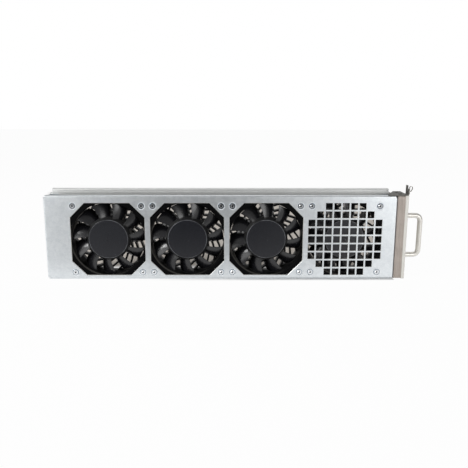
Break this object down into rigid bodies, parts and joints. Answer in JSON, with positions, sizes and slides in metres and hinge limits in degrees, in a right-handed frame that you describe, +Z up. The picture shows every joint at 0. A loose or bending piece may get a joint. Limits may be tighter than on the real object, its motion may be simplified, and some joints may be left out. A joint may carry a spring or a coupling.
{
  "type": "fan tray",
  "caption": "Slide-in fan tray: a long sheet-metal case with a row of axial fans, one behind a square grille, and a bow handle, gasket and locking bracket at one end.",
  "frame": {"origin": "middle of the underside of the overall box", "axes": "+X along the tray towards the handle, +Y through the fans from the front wall to the rear, +Z up"},
  "size_m": [0.5904, 0.05, 0.147],
  "materials": {
    "zinc_sheet": "zinc-coated sheet, fine spangle",
    "fan_plastic": "moulded black plastic",
    "impeller_plastic": "moulded dark grey plastic, satin",
    "yoke_steel": "drawn steel cup",
    "magnet": "sintered ferrite",
    "ground_steel": "ground steel",
    "core_steel": "stacked sheet steel",
    "copper_coil": "enamelled copper wire",
    "circuit_board": "glass-fibre board with green mask",
    "rivet_metal": "satin rivet",
    "screw_steel": "zinc-plated steel",
    "gasket_fabric": "conductive woven fabric over foam",
    "faceplate_paint": "pale smooth paint",
    "bracket_metal": "dark grey plated steel",
    "spring_metal": "thin spring strip",
    "tube_brass": "turned brass",
    "handle_metal": "satin nickel plate",
    "connector_plastic": "moulded black plastic"
  },
  "bodies": {
    "tray": {"tray_body": "zinc_sheet", "rear_panel": "zinc_sheet", "guide_rail": "zinc_sheet", "sheet_rivets": "rivet_metal", "fan_rivets": "rivet_metal", "end_collar": "zinc_sheet", "emi_gasket": "gasket_fabric", "faceplate": "faceplate_paint", "top_bracket": "bracket_metal", "bracket_rivets": "rivet_metal", "emi_finger": "spring_metal", "handle": "handle_metal", "handle_screws": "screw_steel", "distribution_board": "circuit_board", "board_standoffs": "screw_steel", "board_screws": "screw_steel", "power_connector": "connector_plastic", "fan_headers": "connector_plastic", "fan_guards": "fan_plastic", "bearing_tubes": "tube_brass", "fan_frame_1": "fan_plastic", "motor_bearings_1": "ground_steel", "stator_core_1": "core_steel", "stator_windings_1": "copper_coil", "motor_board_1": "circuit_board", "fan_frame_2": "fan_plastic", "motor_bearings_2": "ground_steel", "stator_core_2": "core_steel", "stator_windings_2": "copper_coil", "motor_board_2": "circuit_board", "fan_frame_3": "fan_plastic", "motor_bearings_3": "ground_steel", "stator_core_3": "core_steel", "stator_windings_3": "copper_coil", "motor_board_3": "circuit_board", "fan_frame_4": "fan_plastic", "motor_bearings_4": "ground_steel", "stator_core_4": "core_steel", "stator_windings_4": "copper_coil", "motor_board_4": "circuit_board"},
    "rotor_1": {"impeller_1": "impeller_plastic", "rotor_yoke_1": "yoke_steel", "magnet_ring_1": "magnet", "rotor_shaft_1": "ground_steel", "retaining_clip_1": "ground_steel"},
    "rotor_2": {"impeller_2": "impeller_plastic", "rotor_yoke_2": "yoke_steel", "magnet_ring_2": "magnet", "rotor_shaft_2": "ground_steel", "retaining_clip_2": "ground_steel"},
    "rotor_3": {"impeller_3": "impeller_plastic", "rotor_yoke_3": "yoke_steel", "magnet_ring_3": "magnet", "rotor_shaft_3": "ground_steel", "retaining_clip_3": "ground_steel"},
    "rotor_4": {"impeller_4": "impeller_plastic", "rotor_yoke_4": "yoke_steel", "magnet_ring_4": "magnet", "rotor_shaft_4": "ground_steel", "retaining_clip_4": "ground_steel"}
  },
  "joints": [
    {"name": "rotor_spin_1", "type": "hinge", "parent": "tray", "child": "rotor_1", "pos_m": [-0.19845, -0.01295, 0.0635], "axis": [0, 1, 0], "continuous": true},
    {"name": "rotor_spin_2", "type": "hinge", "parent": "tray", "child": "rotor_2", "pos_m": [-0.07605, -0.01295, 0.0635], "axis": [0, 1, 0], "continuous": true},
    {"name": "rotor_spin_3", "type": "hinge", "parent": "tray", "child": "rotor_3", "pos_m": [0.04635, -0.01295, 0.0635], "axis": [0, 1, 0], "continuous": true},
    {"name": "rotor_spin_4", "type": "hinge", "parent": "tray", "child": "rotor_4", "pos_m": [0.16875, -0.01295, 0.0635], "axis": [0, 1, 0], "continuous": true}
  ]
}
